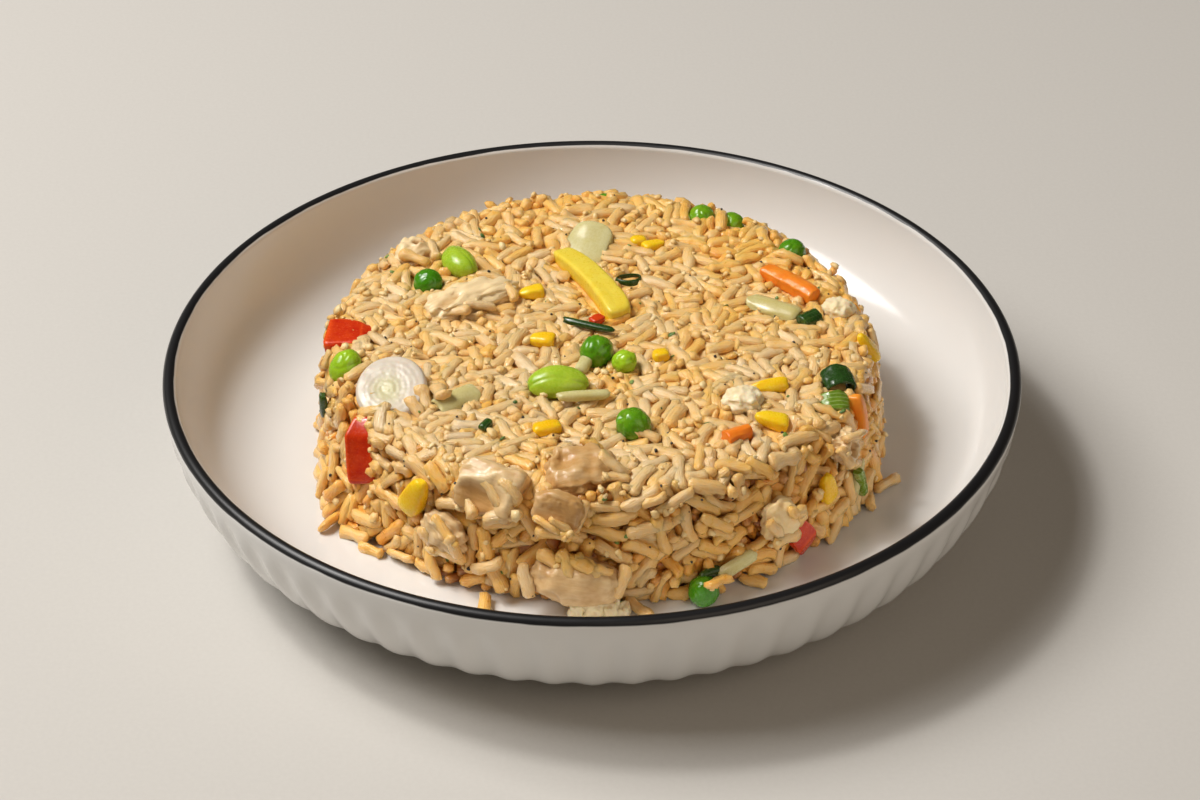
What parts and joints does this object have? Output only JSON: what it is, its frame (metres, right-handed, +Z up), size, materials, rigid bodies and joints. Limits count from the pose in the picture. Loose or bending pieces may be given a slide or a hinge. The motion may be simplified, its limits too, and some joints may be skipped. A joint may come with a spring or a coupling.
{
  "type": "fried rice plate",
  "caption": "Shallow fluted porcelain plate with a dark rim, holding a pressed round of fried rice with peas, corn, peppers, leek and chicken.",
  "frame": {"origin": "on the table under the middle of the plate, in the plane of its foot ring", "axes": "+Z up out of the plate, -Y towards the diner and +X to the diner's right"},
  "size_m": [0.205, 0.205, 0.0467],
  "materials": {
    "glaze": "gloss",
    "rice": "satin",
    "pea": "gloss",
    "edamame": "gloss",
    "corn": "gloss",
    "carrot": "satin",
    "pepper_yellow": "satin",
    "pepper_red": "gloss",
    "leek": "satin",
    "onion": "satin",
    "scallion": "gloss",
    "chicken": "satin",
    "egg": "satin"
  },
  "bodies": {
    "root": {"bean_back_left": "edamame", "bean_centre": "edamame", "carrot_a": "carrot", "carrot_b": "carrot", "carrot_c": "carrot", "chicken_back": "chicken", "chicken_base": "chicken", "chicken_corner": "chicken", "chicken_edge": "chicken", "chicken_left": "chicken", "chicken_right": "chicken", "chicken_shoulder": "chicken", "chicken_slab": "chicken", "corn_a": "corn", "corn_b": "corn", "corn_c": "corn", "corn_e": "corn", "corn_f": "corn", "corn_g": "corn", "corn_h": "corn", "corn_j": "corn", "egg_front": "egg", "egg_right": "egg", "egg_side": "egg", "leek_back": "onion", "leek_slice": "leek", "onion_left": "onion", "onion_right": "onion", "pea_back_a": "pea", "pea_back_b": "pea", "pea_back_left": "pea", "pea_base": "pea", "pea_centre": "pea", "pea_front": "pea", "pea_left": "pea", "pea_peep": "pea", "pea_right": "pea", "pea_small": "pea", "pepper_red_a": "pepper_red", "pepper_red_b": "pepper_red", "pepper_red_c": "pepper_red", "pepper_yellow": "pepper_yellow", "plate": "glaze", "rice": "rice", "scallion_ribbed": "scallion", "scallion_right": "scallion", "scallion_ring": "scallion", "scallion_stalk": "scallion", "scallion_tube": "scallion"}
  },
  "joints": []
}
